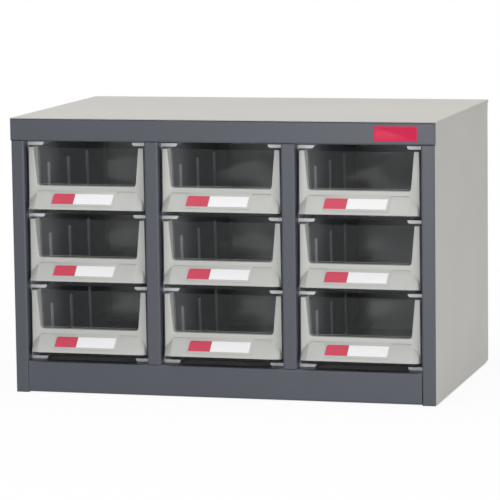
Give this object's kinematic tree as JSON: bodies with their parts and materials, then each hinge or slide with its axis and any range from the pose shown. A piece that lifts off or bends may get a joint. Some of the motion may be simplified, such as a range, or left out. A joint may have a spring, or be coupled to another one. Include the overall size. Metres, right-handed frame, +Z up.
{
  "type": "parts bin cabinet",
  "caption": "Steel bench cabinet with clear pull-out bins, each with a moulded grey front, a hooded pull and a label, in a dark frame under a pale case.",
  "frame": {"origin": "centre of the overall box at floor level", "axes": "+X to the right seen from the front, +Y to the back, +Z up; the drawers pull out along -Y"},
  "size_m": [0.586, 0.3785, 0.375],
  "materials": {
    "case_enamel": "satin",
    "frame_enamel": "satin",
    "zinc_sheet": "satin",
    "rivet_aluminium": "satin",
    "badge_plastic": "gloss",
    "clear_polystyrene": "gloss",
    "moulded_grey": "satin",
    "card_white": "matte",
    "tab_red": "satin"
  },
  "bodies": {
    "cabinet": {"top_cover": "case_enamel", "header": "frame_enamel", "badge_plate": "badge_plastic", "stile_left": "frame_enamel", "stile_right": "frame_enamel", "base_rail": "frame_enamel", "side_panel_left": "case_enamel", "side_panel_right": "case_enamel", "back_panel": "case_enamel", "back_rivets": "rivet_aluminium", "floor_panel": "case_enamel", "mullion_1": "frame_enamel", "mullion_2": "frame_enamel", "liner_1_left": "zinc_sheet", "liner_1_right": "zinc_sheet", "liner_2_left": "zinc_sheet", "liner_2_right": "zinc_sheet", "liner_3_left": "zinc_sheet", "liner_3_right": "zinc_sheet", "runners_1": "zinc_sheet", "runners_2": "zinc_sheet", "runners_3": "zinc_sheet"},
    "drawer_c1r1": {"bin_c1r1": "clear_polystyrene", "front_c1r1": "moulded_grey", "card_c1r1": "card_white", "tab_c1r1": "tab_red"},
    "drawer_c1r2": {"bin_c1r2": "clear_polystyrene", "front_c1r2": "moulded_grey", "card_c1r2": "card_white", "tab_c1r2": "tab_red"},
    "drawer_c1r3": {"bin_c1r3": "clear_polystyrene", "front_c1r3": "moulded_grey", "card_c1r3": "card_white", "tab_c1r3": "tab_red"},
    "drawer_c2r1": {"bin_c2r1": "clear_polystyrene", "front_c2r1": "moulded_grey", "card_c2r1": "card_white", "tab_c2r1": "tab_red"},
    "drawer_c2r2": {"bin_c2r2": "clear_polystyrene", "front_c2r2": "moulded_grey", "card_c2r2": "card_white", "tab_c2r2": "tab_red"},
    "drawer_c2r3": {"bin_c2r3": "clear_polystyrene", "front_c2r3": "moulded_grey", "card_c2r3": "card_white", "tab_c2r3": "tab_red"},
    "drawer_c3r1": {"bin_c3r1": "clear_polystyrene", "front_c3r1": "moulded_grey", "card_c3r1": "card_white", "tab_c3r1": "tab_red"},
    "drawer_c3r2": {"bin_c3r2": "clear_polystyrene", "front_c3r2": "moulded_grey", "card_c3r2": "card_white", "tab_c3r2": "tab_red"},
    "drawer_c3r3": {"bin_c3r3": "clear_polystyrene", "front_c3r3": "moulded_grey", "card_c3r3": "card_white", "tab_c3r3": "tab_red"}
  },
  "joints": [
    {"name": "slide_c1r1", "type": "slide", "parent": "cabinet", "child": "drawer_c1r1", "axis": [0, -1, 0], "range_m": [0, 0.25]},
    {"name": "slide_c1r2", "type": "slide", "parent": "cabinet", "child": "drawer_c1r2", "axis": [0, -1, 0], "range_m": [0, 0.25]},
    {"name": "slide_c1r3", "type": "slide", "parent": "cabinet", "child": "drawer_c1r3", "axis": [0, -1, 0], "range_m": [0, 0.25]},
    {"name": "slide_c2r1", "type": "slide", "parent": "cabinet", "child": "drawer_c2r1", "axis": [0, -1, 0], "range_m": [0, 0.25]},
    {"name": "slide_c2r2", "type": "slide", "parent": "cabinet", "child": "drawer_c2r2", "axis": [0, -1, 0], "range_m": [0, 0.25]},
    {"name": "slide_c2r3", "type": "slide", "parent": "cabinet", "child": "drawer_c2r3", "axis": [0, -1, 0], "range_m": [0, 0.25]},
    {"name": "slide_c3r1", "type": "slide", "parent": "cabinet", "child": "drawer_c3r1", "axis": [0, -1, 0], "range_m": [0, 0.25]},
    {"name": "slide_c3r2", "type": "slide", "parent": "cabinet", "child": "drawer_c3r2", "axis": [0, -1, 0], "range_m": [0, 0.25]},
    {"name": "slide_c3r3", "type": "slide", "parent": "cabinet", "child": "drawer_c3r3", "axis": [0, -1, 0], "range_m": [0, 0.25]}
  ]
}
